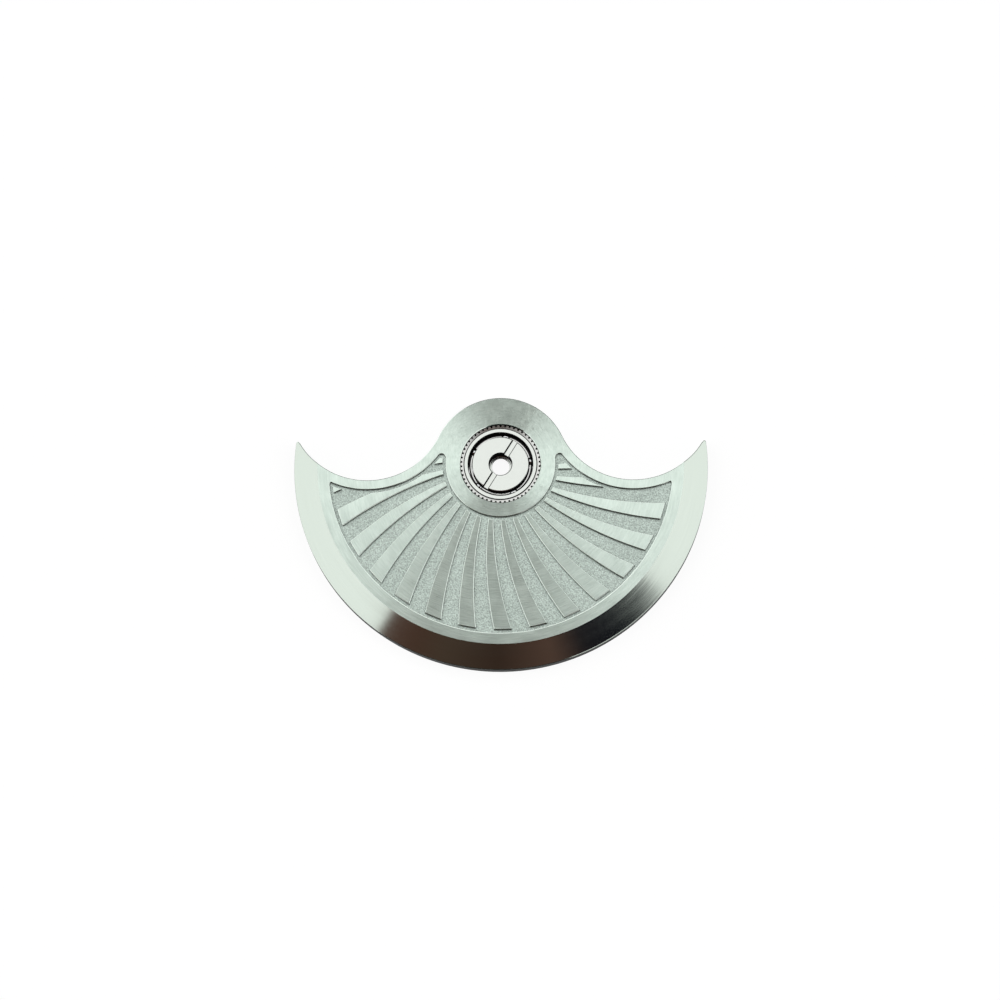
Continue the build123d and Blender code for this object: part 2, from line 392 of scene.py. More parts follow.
def finish_tree(tree, geometry, finish):
    """Ends a mesh's tree: copies become real, because the export drops instances, and get the finish."""
    real = wired(tree, "GeometryNodeRealizeInstances", Geometry=geometry)
    finished = wired(tree, "GeometryNodeSetMaterial", Geometry=real, Material=finish)
    connect(finished, tree.nodes["Group Output"].inputs[0])
    print(tree.name, "of", len(tree.nodes), "nodes")


def grown(name, tree, values):
    """An object with the plain mesh that a tree gives for some values, set by its sockets' identifiers."""
    made = mesh_object(name, bmesh.new())
    modifier = made.modifiers.new(tree.name, "NODES")
    modifier.node_group = tree
    for item in tree.interface.items_tree:
        if item.in_out == "INPUT" and item.name in values:
            modifier[item.identifier] = values[item.name]
    return evaluated(made)


# %% [markdown]
# Every finish here is metal, and what tells them apart is how the surface was worked. Two effects are shared:
# the fine circular lines that a lathe or a brush leaves, and the grain of a blasted surface. Each is a node
# group that reads the object's own coordinates, so it moves with the piece.

# %% Shared effects
def give_out(tree, **results):
    """Gives an effect a named output for each of its results."""
    for label, wire in results.items():
        tree.interface.new_socket(label, in_out="OUTPUT", socket_type="NodeSocketFloat")
        connect(wire, tree.nodes["Group Output"].inputs[label])
    print(tree.name, "gives", *results)


BAND_SHARE = 0.16  # a band is about six lines wide
turning_lines, given = new_tree("turning_lines", "ShaderNodeTree",
                                {"Position": (0, 0, 0), "Spacing": 0.1, "Drift": 3.0})
in_mm = given["Position"] * (1 / MM)
flat = in_mm * (1, 1, 0)
around = split(vector_math("NORMALIZE", flat) * given["Drift"])
across = (vector_math("LENGTH", flat) + split(in_mm)[2]) / given["Spacing"]
lines = wired(turning_lines, "ShaderNodeTexNoise", Vector=vector(across, around[0], around[1]),
              Scale=1.0, Detail=2.0, Roughness=0.6)
bands = wired(turning_lines, "ShaderNodeTexNoise", Vector=vector(across * BAND_SHARE, around[0], around[1]),
              Scale=1.0, Detail=1.0)
give_out(turning_lines, Lines=lines, Bands=bands)

blasted_grain, given = new_tree("blasted_grain", "ShaderNodeTree", {"Position": (0, 0, 0), "Grain": 0.1})
in_mm = given["Position"] * (1 / MM)
grain = wired(blasted_grain, "ShaderNodeTexNoise", Vector=in_mm, Scale=1.0 / given["Grain"], Detail=1.0,
              Roughness=0.5)
cloud = wired(blasted_grain, "ShaderNodeTexNoise", Vector=in_mm, Scale=0.5, Detail=3.0)
give_out(blasted_grain, Grain=grain, Cloud=cloud)

# %% [markdown]
# A material starts from even values on the shader's own sockets. Masks that vary over the surface are then
# stretched to a range, mixed into colours and wired in.

# %% Parts of a material
def shader_of(material):
    """The inputs of a material's Principled shader."""
    return material.node_tree.nodes["Principled BSDF"].inputs


def new_material(name, colour, roughness, anisotropy=0.0):
    made = bpy.data.materials.new(name)
    made.use_nodes = True
    made.diffuse_color = (*colour, 1)
    for label, value in (("Base Color", (*colour, 1)), ("Roughness", roughness), ("Metallic", 1.0),
                         ("Anisotropic", anisotropy)):
        shader_of(made)[label].default_value = value
    return made


def object_position(tree):
    return wired(tree, "ShaderNodeTexCoord", output="Object")


def wires_of(node):
    """The wires from a node's outputs, by their names."""
    return {output.name: Wire(output) for output in node.outputs}


def use_effect(tree, effect, **values):
    """Places a shared effect in a material with its own values."""
    return wires_of(add_node(tree, "ShaderNodeGroup", settings={"node_tree": effect},
                             Position=object_position(tree), **values))


def mapped(value, low, high, start=0.3, end=0.7):
    """Stretches a mask to a range of values."""
    return wired(tree_of(value), "ShaderNodeMapRange", value, start, end, low, high)


def mixed(data_type, places, output, values):
    """A Mix node, which has its inputs for numbers, vectors and colours in a row."""
    node = add_node(tree_of(values[0]), "ShaderNodeMix", settings={"data_type": data_type})
    for place, value in zip(places, values):
        connect(value, node.inputs[place])
    return Wire(node.outputs[output])


def between(mask, *colours):
    """Mixes two colours by a mask; each is a wire, or red, green and blue."""
    colours = [(*colour, 1) if isinstance(colour, tuple) else colour for colour in colours]
    return mixed("RGBA", (0, 6, 7), 2, (mask, *colours))


def choose(mask, no, yes):
    """One of two numbers by a mask of 0 or 1."""
    return mixed("FLOAT", (0, 2, 3), 0, (mask, no, yes))


def own_colour(material):
    """The wire that feeds a material's colour so far."""
    return Wire(shader_of(material)["Base Color"].links[0].from_socket)


# %% [markdown]
# Circular brushing spreads a reflection across its lines and hardly along them. That is why a brushed disc
# shows a bright fan to two sides and a dim one to the other two. The shader's tangent points outwards, and
# the fine lines vary colour, roughness and relief.

# %% Turned and brushed metals
def stretch_outwards(material):
    """Turns a brushed metal's reflections across its circular lines, outwards from the axis."""
    away = vector_math("NORMALIZE", object_position(material.node_tree) * (1, 1, 0))
    turning = {"vector_type": "VECTOR", "convert_from": "OBJECT", "convert_to": "WORLD"}
    tangent = wired(material.node_tree, "ShaderNodeVectorTransform", away, settings=turning)
    connect(tangent, shader_of(material)["Tangent"])


def worked_surface(material, marks, tone, patches, colours, roughness, relief):
    """Lets one mask vary colour and relief, whose depth is in millimetres, and another the roughness."""
    shader = shader_of(material)
    connect(between(mapped(marks[tone], 0, 1), *colours), shader["Base Color"])
    connect(mapped(marks[patches], *roughness), shader["Roughness"])
    bump = wired(material.node_tree, "ShaderNodeBump", Strength=1.0, Distance=relief * MM, Height=marks[tone])
    connect(bump, shader["Normal"])


def brushed_metal(name, dark, light, roughness, anisotropy=0.0, spacing=0.07, relief=0.004, drift=3.0):
    material = new_material(name, light, roughness[0], anisotropy)
    stretch_outwards(material)
    marks = use_effect(material.node_tree, turning_lines, Spacing=spacing, Drift=drift)
    worked_surface(material, marks, "Lines", "Bands", (dark, light), roughness, relief)
    return material


brushed_nickel = brushed_metal("brushed_nickel", (0.76, 0.885, 0.80), (0.87, 0.995, 0.905), (0.36, 0.42),
                               anisotropy=1.0, spacing=0.12, drift=9.0, relief=0.028)
polished_edge = brushed_metal("polished_edge", (0.80, 0.89, 0.82), (0.86, 0.95, 0.88), (0.12, 0.18),
                              relief=0.001)
polished_bevel = brushed_metal("polished_bevel", (0.69, 0.77, 0.695), (0.71, 0.79, 0.715), (0.10, 0.14),
                               anisotropy=0.6, relief=0.0012)
turned_side = brushed_metal("turned_side", (0.50, 0.55, 0.52), (0.62, 0.68, 0.65), (0.34, 0.42),
                            anisotropy=0.3)
lapped_steel = brushed_metal("lapped_steel", (0.765, 0.80, 0.757), (0.785, 0.82, 0.775), (0.16, 0.20),
                             spacing=0.05, relief=0.0006)
tooth_steel = brushed_metal("tooth_steel", (0.62, 0.63, 0.61), (0.80, 0.81, 0.78), (0.12, 0.17), relief=0.002)
ball_steel = brushed_metal("ball_steel", (0.72, 0.74, 0.74), (0.80, 0.82, 0.82), (0.05, 0.09), relief=0.0005)
print(len(bpy.data.materials), "materials with the bright metals")

# %% [markdown]
# The walls inside the part lie in shade and look black from above. They get painted shade: a dark colour that
# reflects almost nothing, so it is no metal to the shader.

# %% Painted shade on metals
# Black of the painted shade, and materials that paint shade on the weight's outer flank, the panel's walls,
# and the walls of the bore and the bearing
PAINTED_SHADE_BLACK = (0.014, 0.014, 0.014)
turned_flank = brushed_metal("turned_flank", (0.022, 0.023, 0.022), (0.045, 0.048, 0.046), (0.40, 0.50))
cut_wall = brushed_metal("cut_wall", (0.020, 0.024, 0.022), (0.045, 0.050, 0.047), (0.45, 0.55), spacing=0.04)
dark_steel = brushed_metal("dark_steel", (0.008, 0.008, 0.008), (0.022, 0.022, 0.022), (0.45, 0.6))
for material, gloss in ((turned_flank, 0.03), (cut_wall, 0.03), (dark_steel, 0.0)):
    shader_of(material)["Metallic"].default_value = 0.0
    shader_of(material)["Specular IOR Level"].default_value = gloss

# The toothed ring's flanks get painted shade, black, inside the hub and are bare steel where they stand out
# below it
FADE = 0.12  # height over which black turns to bare steel
tooth_flank = brushed_metal("tooth_flank", (0.34, 0.35, 0.34), (0.60, 0.61, 0.59), (0.26, 0.34))
shader = shader_of(tooth_flank)
shader["Specular IOR Level"].default_value = 0.0
height = vector_math("DOT_PRODUCT", object_position(tooth_flank.node_tree), (0, 0, 1 / MM))
out_of_shade = mapped(height, 1.0, 0.0, boss_bottom, boss_bottom + FADE)
connect(between(out_of_shade, PAINTED_SHADE_BLACK, own_colour(tooth_flank)), shader["Base Color"])
connect(out_of_shade, shader["Metallic"])

# The cage gets painted shade, black, and a painted glint along one thin bright line
GLINT_RADIUS, GLINT_HALF, GLINT_CORE = 1.93, 0.035, 0.7
cage_steel = brushed_metal("cage_steel", PAINTED_SHADE_BLACK, (0.035, 0.035, 0.035), (0.18, 0.24), anisotropy=0.3)
from_axis = vector_math("LENGTH", object_position(cage_steel.node_tree) * (1 / MM, 1 / MM, 0))
off_glint = number_math("ABSOLUTE", from_axis - GLINT_RADIUS)
painted_glint = mapped(off_glint, 1.0, 0.0, GLINT_HALF * GLINT_CORE, GLINT_HALF)
connect(between(painted_glint, own_colour(cage_steel), (0.82, 0.83, 0.80)), shader_of(cage_steel)["Base Color"])
print(len(bpy.data.materials), "materials with the dark metals")

# %% [markdown]
# The sunken panel is blasted with fine beads: matt and grainy, about as bright from every side.

# %% Blasted metal
def blasted_metal(name, dark, light, roughness, grain, relief):
    material = new_material(name, light, roughness[1])
    marks = use_effect(material.node_tree, blasted_grain, Grain=grain)
    worked_surface(material, marks, "Grain", "Cloud", (dark, light), roughness, relief)
    return material


blasted_nickel = blasted_metal("blasted_nickel", (0.46, 0.535, 0.49), (0.82, 0.95, 0.87), (0.42, 0.50),
                               grain=0.085, relief=0.02)
print("matt metal", blasted_nickel.name)

# %% [markdown]
# A finished piece is brought to metres, gets sharp edges where its faces meet at more than 9 degrees, and
# rides on the body of the CAD node that it replaces.

# %% Finish a piece
SHARP_ANGLE = 9
FLAT = 0.9  # a face looks straight up or down when the height of its normal is more than this
NEAR = 0.01  # a face lies at a height or a radius when it is closer than this


def finish_piece(piece, body, slot, *nodes, materials=(), finish_of=None):
    """Sets each face's material, marks the sharp edges, scales to metres and joins the piece to its body."""
    data = piece.data
    materials = materials or [material for material in data.materials if material]
    data.materials.clear()
    for material in materials:
        data.materials.append(material)
    mesh = bmesh.new()
    mesh.from_mesh(data)
    for face in mesh.faces:
        face.smooth = True
        face.material_index = materials.index(finish_of(face)) if finish_of else 0
    for edge in mesh.edges:
        edge.smooth = len(edge.link_faces) == 2 and degrees(edge.calc_face_angle(pi)) < SHARP_ANGLE
    open_edges = sum(len(edge.link_faces) != 2 for edge in mesh.edges)
    bmesh.ops.scale(mesh, vec=(MM, MM, MM), verts=mesh.verts)
    mesh.to_mesh(data)
    volume = mesh.calc_volume() / MM**3
    mesh.free()
    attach(piece, body)
    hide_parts(*nodes)
    triangles = sum(len(polygon.vertices) - 2 for polygon in data.polygons)
    print(piece.name, triangles, "triangles,", open_edges, "open edges, volume", round(volume, 4), "mm3")


# %% [markdown]
# The ribs are curved rays that leave the hub every 12 degrees. One ray is a narrow grid whose two long sides
# are arcs of one radius. Geometry Nodes raise it to a prism, repeat it, and keep only what lies in the panel.

# %% A prism with the form of the panel
panel_groove = 0.20
OVERRUN = 0.5
panel_mesh = bmesh.new()
add_prism(panel_mesh, *(add_loop(panel_mesh, panel_loop(panel_groove), height)
                        for height in (panel_floor - OVERRUN, top_height + OVERRUN)))
panel_prism = solid_object("panel_prism", panel_mesh)
print(panel_prism.name, "with", len(panel_prism.data.vertices), "points")

# %% The ribs' tree
rib_values = {
    "Count": 16, "Pitch": 12.0, "First Angle": -183.6, "Sweep": 10.9, "Inner Spread": 5.0,
    "Outer Spread": 6.0, "Curve Radius": 23.5, "Inner Radius": panel_inner_radius,
    "Outer Radius": panel_outer_radius, "Bottom": panel_floor, "Rise": top_height - panel_floor,
    "Panel": panel_prism, "Least Area": 0.06, "Finish": brushed_nickel}
ribs_tree, size = new_tree("curved_ribs", "GeometryNodeTree", rib_values)

# A square grid is bent to the first ray: x runs along it and y across it, both counted from the middle
strip = wired(ribs_tree, "GeometryNodeMeshGrid", Size_X=1.0, Size_Y=1.0, Vertices_X=56, Vertices_Y=2)
along, side = split(wired(ribs_tree, "GeometryNodeInputPosition"))[:2]
inner_angle = number_math("MULTIPLY_ADD", side, size["Inner Spread"], size["First Angle"])
outer_angle = number_math("MULTIPLY_ADD", side, size["Outer Spread"], size["First Angle"] + size["Sweep"])
start = polar_wire(size["Inner Radius"], inner_angle)
chord = polar_wire(size["Outer Radius"], outer_angle) - start
chord_length = vector_math("LENGTH", chord)
square = size["Curve Radius"] ** 2.0
here = number_math("SQRT", square - (along * chord_length) ** 2.0)
at_end = number_math("SQRT", square - (chord_length * 0.5) ** 2.0)
sideways = vector_math("NORMALIZE", vector_math("CROSS_PRODUCT", chord, (0, 0, 1)))
point = start + chord * (along + 0.5) + sideways * (here - at_end) + vector(z=size["Bottom"])
ray = wired(ribs_tree, "GeometryNodeSetPosition", Geometry=strip, Position=point)

# The ray is raised and closed, repeated about the axis and trimmed by the panel
raised = wired(ribs_tree, "GeometryNodeExtrudeMesh", Mesh=ray, Offset=vector(z=size["Rise"]),
               Individual=False)
below = wired(ribs_tree, "GeometryNodeFlipFaces", Mesh=ray)
closed = wired(ribs_tree, "GeometryNodeJoinGeometry", Geometry=[raised, below])
prism = wired(ribs_tree, "GeometryNodeMergeByDistance", Geometry=closed, Distance=0.001)
turn = number_math("RADIANS", wired(ribs_tree, "GeometryNodeInputIndex") * size["Pitch"])
spots = wired(ribs_tree, "GeometryNodeMeshLine", Count=size["Count"], Offset=(0, 0, 0))
copies = wired(ribs_tree, "GeometryNodeInstanceOnPoints", Points=spots, Instance=prism,
               Rotation=vector(z=turn))
rays = wired(ribs_tree, "GeometryNodeRealizeInstances", Geometry=copies)
panel = wired(ribs_tree, "GeometryNodeObjectInfo", output="Geometry", Object=size["Panel"])
trimmed = wired(ribs_tree, "GeometryNodeMeshBoolean", settings={"operation": "INTERSECT", "solver": "EXACT"},
                Mesh_2=[rays, panel])
merged = wired(ribs_tree, "GeometryNodeMergeByDistance", Geometry=trimmed, Distance=0.01)

# Scraps that the trimming leaves are told by the area of their tops
on_top = number_math("GREATER_THAN", split(wired(ribs_tree, "GeometryNodeInputNormal"))[2], FLAT)
top_area = wired(ribs_tree, "GeometryNodeInputMeshFaceArea") * on_top
island = wired(ribs_tree, "GeometryNodeInputMeshIsland", output="Island Index")
total = wired(ribs_tree, "GeometryNodeAccumulateField", settings={"data_type": "FLOAT", "domain": "FACE"},
              output="Total", Value=top_area, Group_ID=island)
scrap = wired(ribs_tree, "FunctionNodeCompare", settings={"data_type": "FLOAT", "operation": "LESS_THAN"},
              A=total, B=size["Least Area"])
kept = wired(ribs_tree, "GeometryNodeDeleteGeometry", settings={"domain": "FACE"}, Geometry=merged,
             Selection=scrap)
finish_tree(ribs_tree, kept, size["Finish"])

# %% [markdown]
# The plate is to be one closed body, so only the outlines of the trimmed ribs are kept. Their points are
# spaced evenly between the corners, which makes even strips later.

# %% Outlines of the trimmed ribs
CORNER_TURN = 18
RIB_SPACING = 0.12
SAME_POINT, SHORTEST_SIDE = 0.002, 0.03


def top_loops(data):
    """The closed outlines of a mesh's flat tops, anticlockwise."""
    mesh = bmesh.new()
    mesh.from_mesh(data)
    following = {}
    for face in mesh.faces:
        if face.normal.z > FLAT:
            for corner in face.loops:
                if corner.link_loop_radial_next.face.normal.z < FLAT:
                    following[corner.vert] = corner.link_loop_next.vert
    loops = []
    while following:
        first, vert = next(iter(following.items()))
        loop = [first]
        del following[first]
        while vert != first:
            loop.append(vert)
            vert = following.pop(vert)
        loops.append([Vector(vert.co.xy) for vert in loop])
    mesh.free()
    return loops


def turn_at(loop, step):
    """How far a closed loop turns at a point, in degrees."""
    before, after = loop[step] - loop[step - 1], loop[(step + 1) % len(loop)] - loop[step]
    return abs(degrees(before.angle_signed(after)))


def evened(loop):
    """The same outline with its corners kept and its sides in even steps, and which points are corners."""
    loop = [point for step, point in enumerate(loop) if (point - loop[step - 1]).length > SAME_POINT]
    corners = [step for step in range(len(loop)) if turn_at(loop, step) > CORNER_TURN]
    made, at_corner = [], []
    for corner, following in zip(corners, corners[1:] + [corners[0] + len(loop)]):
        side = [loop[step % len(loop)] for step in range(corner, following + 1)]
        lengths = [(b - a).length for a, b in zip(side, side[1:])]
        if sum(lengths) < SHORTEST_SIDE:
            continue
        count = max(1, round(sum(lengths) / RIB_SPACING))
        for step in range(count):
            rest, part = sum(lengths) * step / count, 0
            while rest > lengths[part]:
                rest, part = rest - lengths[part], part + 1
            made.append(side[part].lerp(side[part + 1], rest / lengths[part]))
            at_corner.append(step == 0)
    return made, at_corner


def loop_area(loop):
    return sum(a.cross(b) for a, b in zip(loop, loop[1:] + loop[:1])) / 2


ribs = grown("ribs", ribs_tree, rib_values)
rib_loops = [evened(loop) for loop in top_loops(ribs.data)]
for helper in (ribs, panel_prism):
    bpy.data.objects.remove(helper)
print(len(rib_loops), "ribs of areas", sorted(round(loop_area(loop), 2) for loop, corner in rib_loops), "mm2")

# %% [markdown]
# The plate is drawn from its loops: outline, panel, ribs, bore and boss. Strips join the loops and flat fills
# close it, which makes a single closed body as on the real, milled part. A rib's edges are rounded too, but
# less towards a pointed end, where the rounding would be wider than the rib.

# %% Rounded edges of the plate
WIDE_FROM, WIDE_BELOW, WIDENING = 4.0, 3.0, 0.5  # where the arc's edge widens, over what depth, and how much
POINTED_HALF = 32  # half the angle of a corner that counts as pointed, in degrees
RIB_ROUNDING = 0.05
LEAST_OPENING = 0.2  # keeps the inset of a very sharp corner finite


def rounded_edge(mesh, loop_of, height, direction, shares=ROUNDING):
    """Strips of a rounded edge, and their first loop, on the face, and last loop, on the wall."""
    loops = [add_loop(mesh, loop_of(share * edge_round), height + direction * drop * edge_round)
             for share, drop in shares]
    for first, second in zip(loops, loops[1:]):
        add_strip(mesh, first, second)
    return loops[0], loops[-1]


def circle_loop(radius):
    return round_arc(radius, 0, 360, 360)


def panel_edge(inset):
    """The panel's loop for its rounded edge, whose first strip widens along the low part of the outer arc."""
    loop = []
    for x, y in panel_loop(-inset):
        widened = inset == edge_round and hypot(x, y) > panel_outer_radius
        low = min(max((-y - WIDE_FROM) / WIDE_BELOW, 0.0), 1.0) if widened else 0.0
        wider = 1 + WIDENING * edge_round * low / hypot(x, y)
        loop.append((x * wider, y * wider))
    return loop


def rounded_rib(mesh, loop, at_corner):
    """A rib's top, rounded edge and wall: gives its outline on the panel's floor."""
    inwards, pointed = [], []
    for step, here in enumerate(loop):
        before = (here - loop[step - 1]).normalized()
        after = (loop[(step + 1) % len(loop)] - here).normalized()
        left, right = Vector((-before.y, before.x)), Vector((-after.y, after.x))
        inwards.append((left + right) / max(LEAST_OPENING, 1 + left.dot(right)))
        half = (pi - abs(before.angle_signed(after))) / 2
        if at_corner[step] and half < radians(POINTED_HALF):
            pointed.append((here, half))
    largest = min(edge_round, RIB_ROUNDING * sqrt(loop_area(loop)))
    sizes = [min([largest] + [(here - tip).length * tan(half) / 2 for tip, half in pointed]) for here in loop]
    rows = [[mesh.verts.new((*(here + way * share * size), top_height - drop * size))
             for here, way, size in zip(loop, inwards, sizes)] for share, drop in ROUNDING]
    rows.append(add_loop(mesh, loop, panel_floor))
    for first, second in zip(rows, rows[1:]):
        add_strip(mesh, first, second)
    mesh.faces.new(rows[0])
    return rows[-1]


plate_mesh = bmesh.new()
top_outline, wall_top = rounded_edge(plate_mesh, outline_loop, top_height, -1, OUTLINE_ROUNDING)
low_outline, wall_low = rounded_edge(plate_mesh, outline_loop, plate_bottom, 1)
add_strip(plate_mesh, wall_top, wall_low)
panel_rim, panel_wall = rounded_edge(plate_mesh, panel_edge, top_height, -1)
panel_low = add_loop(plate_mesh, panel_loop(0), panel_floor)
add_strip(plate_mesh, panel_wall, panel_low)
rib_feet = [rounded_rib(plate_mesh, *loop) for loop in rib_loops]
print("edges of the plate with", len(plate_mesh.verts), "points")

# %% Bore, boss and flat faces
boss_radius = 3.57
bore_chamfer = 0.04
SKIN = 0.0001  # a rounded edge's faces lie at least this far below the top
STEEP = 0.3  # a wall or its foot is at least this upright, on a scale from flat, 0, to upright, 1
bore_top = add_loop(plate_mesh, circle_loop(gear_radius + bore_chamfer), top_height)
bore_high = add_loop(plate_mesh, circle_loop(gear_radius), top_height - bore_chamfer)
bore_low = add_loop(plate_mesh, circle_loop(gear_radius), boss_bottom)
boss_face, boss_wall = rounded_edge(plate_mesh, lambda inset: circle_loop(boss_radius - inset),
                                    boss_bottom, 1)
boss_top = add_loop(plate_mesh, circle_loop(boss_radius), plate_bottom)
for first, second in ((bore_top, bore_high), (bore_high, bore_low), (bore_low, boss_face),
                      (boss_wall, boss_top)):
    add_strip(plate_mesh, first, second)
fill_between(plate_mesh, panel_low, *rib_feet)
fill_between(plate_mesh, top_outline, panel_rim, bore_top)
fill_between(plate_mesh, low_outline, boss_top)
plate = solid_object("plate_with_ribs", plate_mesh, merged=0.0002)


def in_panel(centre):
    """True for the walls round the sunken panel and its ribs, false for the plate's outer wall."""
    off_waist = hypot(abs(centre.x) - waist_x, centre.y - waist_y)
    return centre.xy.length < panel_outer_radius + NEAR and off_waist > waist_radius + waist_border / 2


def plate_finish(face):
    """Brushed top, blasted floor, turned sides and polished edges, with painted shade: a black bore and dark
    panel walls.
    """
    centre, upright = face.calc_center_median(), 1 - abs(face.normal.z)
    if face.normal.z > FLAT and abs(centre.z - panel_floor) < NEAR:
        return blasted_nickel
    # Painted shade: black for the bore, dark for the walls of the panel and its ribs
    if centre.xy.length < gear_radius + NEAR:
        return dark_steel
    if top_height - edge_round < centre.z < top_height - SKIN:
        return polished_edge
    if panel_floor < centre.z < top_height - SKIN and upright > STEEP and in_panel(centre):
        return cut_wall
    return turned_side if centre.z < plate_bottom + NEAR or upright > FLAT else brushed_nickel


finish_piece(plate, "rotor", "plate", "rotor_plate",
             materials=(brushed_nickel, blasted_nickel, turned_side, dark_steel, cut_wall, polished_edge),
             finish_of=plate_finish)

# %% [markdown]
# The weight is a turned ring, cut by the two waists. Its columns of points run along the rim, and each column
# is a profile whose ends follow the waist circles, so it needs no boolean and its tips stay clean.

# %% Ends of the crescent weight
tip_round = 0.12
# The rounded tip's circle touches the waist and the outer arc
tip_distance = rotor_radius - tip_round
tip_angle = crossing(tip_distance, waist_radius + tip_round)
waist_touch = hypot(*towards(polar(tip_distance, tip_angle), waist, tip_round))


def end_angle(radius, inset):
    """Angle at which the weight ends, at a radius, moved inwards by an inset."""
    if radius < waist_touch:
        return crossing(radius, waist_radius + inset)
    rounding = tip_round - inset
    cosine = (radius**2 + tip_distance**2 - rounding**2) / (2 * radius * tip_distance)
    return tip_angle + degrees(acos(min(1.0, cosine)))


print("tips from", round(end_angle(rotor_radius, 0), 2), "degrees on")

# %% Section of the weight
weight_inner_radius = 9.60
weight_bottom = 0.10
foot_chamfer = 0.10
bevel_low = 0.98
RING_STEP = 0.6
BEVEL_STEPS = 8
lip, lip_drop, wall_drop = 0.008, 0.010, 0.030
bevel_slope = (top_height - bevel_low) / (rotor_radius - bevel_radius)
section = [(weight_inner_radius, weight_bottom + edge_round, plate_bottom - edge_round),
           (weight_inner_radius + edge_round, weight_bottom, plate_bottom)]
section += [(weight_inner_radius + RING_STEP * step, weight_bottom, plate_bottom) for step in (1, 2, 3)]
section += [(bevel_radius, weight_bottom, height) for height in (plate_bottom, top_height)]
bevel_radii = [bevel_radius + (tip_distance - bevel_radius) * step / BEVEL_STEPS
               for step in range(1, BEVEL_STEPS + 1)]
bevel_radii += [rotor_radius - tip_round * share for share in (0.75, 0.50, 0.25)]
for radius in bevel_radii:
    foot = max(0.0, radius - (rotor_radius - foot_chamfer))
    section.append((radius, weight_bottom + foot, top_height - (radius - bevel_radius) * bevel_slope))
section.append((rotor_radius - lip, weight_bottom + foot_chamfer - lip, bevel_low - lip_drop))
section.append((rotor_radius, weight_bottom + foot_chamfer, bevel_low - wall_drop))
print("weight's section of", len(section), "columns")

# %% The crescent weight
END_ROUNDING = [(0.0, 1.0), (0.30, 0.35), (1.0, 0.0)]  # from the end inwards: shares of inset and drop
SLOPING = 0.3  # a face slopes when the height of its normal is more than this
BELOW_BEVEL = 0.003  # how far below the bevel's foot the middle of a polished face may lie
end_drops = [edge_round * drop for inset, drop in END_ROUNDING[:2]]
drops = end_drops + [0.0] * (RIM_STEPS + 1) + end_drops[::-1]
weight_mesh = bmesh.new()
rows_top, rows_low = [], []
for radius, low, high in section:
    *ends, first = [end_angle(radius, inset * edge_round) for inset, drop in END_ROUNDING]
    angles = ends + [first + (-180 - 2 * first) * step / RIM_STEPS for step in range(RIM_STEPS + 1)]
    angles += [-180 - angle for angle in reversed(ends)]
    places = [polar(radius, angle) for angle in angles]
    rows_top.append([weight_mesh.verts.new((*place, high - drop)) for place, drop in zip(places, drops)])
    rows_low.append([weight_mesh.verts.new((*place, low + drop)) for place, drop in zip(places, drops)])
strips = [pair for rows in (rows_top, rows_low) for pair in zip(rows, rows[1:])]
strips += [(rows_top[edge], rows_low[edge]) for edge in (0, -1)]
strips += [([row[end] for row in rows_top], [row[end] for row in rows_low]) for end in (0, -1)]
for first, second in strips:
    add_strip(weight_mesh, first, second, closed=False)
weight = solid_object("crescent_weight", weight_mesh, merged=0.0005)


def weight_finish(face):
    """The bevel is polished, the outer wall gets painted shade, dark, and the rest is plainly turned."""
    centre = face.calc_center_median()
    if face.normal.z > SLOPING and centre.z > bevel_low - BELOW_BEVEL:
        return polished_bevel
    return turned_flank if centre.xy.length > rotor_radius - tip_round / 2 else turned_side


finish_piece(weight, "rotor", "weight", "rim_weight", materials=(polished_bevel, turned_side, turned_flank),
             finish_of=weight_finish)

# %% [markdown]
# The toothed ring sits at the bottom of the hub's bore. Its mesh is one long grid bent twice: along the ring,
# with the outer radius going in and out for the teeth, and round its own section.

# %% The toothed ring's tree
race_radius = 2.39
POINTS_PER_TOOTH, SECTION_POINTS = 6, 9
ring_values = {
    "Teeth": 54, "Bore Radius": race_radius, "Tip Radius": gear_radius, "Root Radius": gear_radius - 0.11,
    "Tip Share": 0.5, "Root Share": 0.34, "Bottom": 0.15, "Top": 1.45, "Dish": 0.20, "Chamfer": 0.02,
    "Finish": tooth_steel}
ring_tree, size = new_tree("toothed_ring", "GeometryNodeTree", ring_values)

# Each point's number says how far along the ring and how far round the section it stands
columns = number_math("MULTIPLY_ADD", size["Teeth"], POINTS_PER_TOOTH, 1)
grid = wired(ring_tree, "GeometryNodeMeshGrid", Vertices_X=columns, Vertices_Y=SECTION_POINTS)
index = wired(ring_tree, "GeometryNodeInputIndex")
step_along = number_math("FLOOR", (index + 0.5) / SECTION_POINTS)
step_round = index - step_along * SECTION_POINTS
tooth = number_math("FLOOR", (step_along + 0.5) / POINTS_PER_TOOTH)

# Three points make a tooth's tip, about its middle, and three the root, half a tooth further on
part = step_along - tooth * POINTS_PER_TOOTH
in_root = number_math("GREATER_THAN", part, 2.5)
on_tip = (part - 1.0) * (size["Tip Share"] * 0.5)
at_root = (part - 4.0) * (size["Root Share"] * 0.5) + 0.5
share = (tooth + choose(in_root, on_tip, at_root)) / size["Teeth"]
outer = choose(in_root, size["Tip Radius"], size["Root Radius"])
bore, low, cut = size["Bore Radius"], size["Bottom"], size["Chamfer"]
bore_cut, outer_cut, low_cut = bore + cut, outer - cut, low + cut


def dished(radius):
    """Height of the ring's top face, which falls a little towards the bore."""
    return size["Top"] - (size["Tip Radius"] - radius) * size["Dish"]


def by_number(number, values):
    """One of a row of values, by its number."""
    node = add_node(tree_of(number), "GeometryNodeIndexSwitch", number, settings={"data_type": "FLOAT"})
    while len(node.index_switch_items) < len(values):
        node.index_switch_items.new()
    for value, socket in zip(values, node.inputs[1:]):
        connect(value, socket)
    return Wire(node.outputs[0])


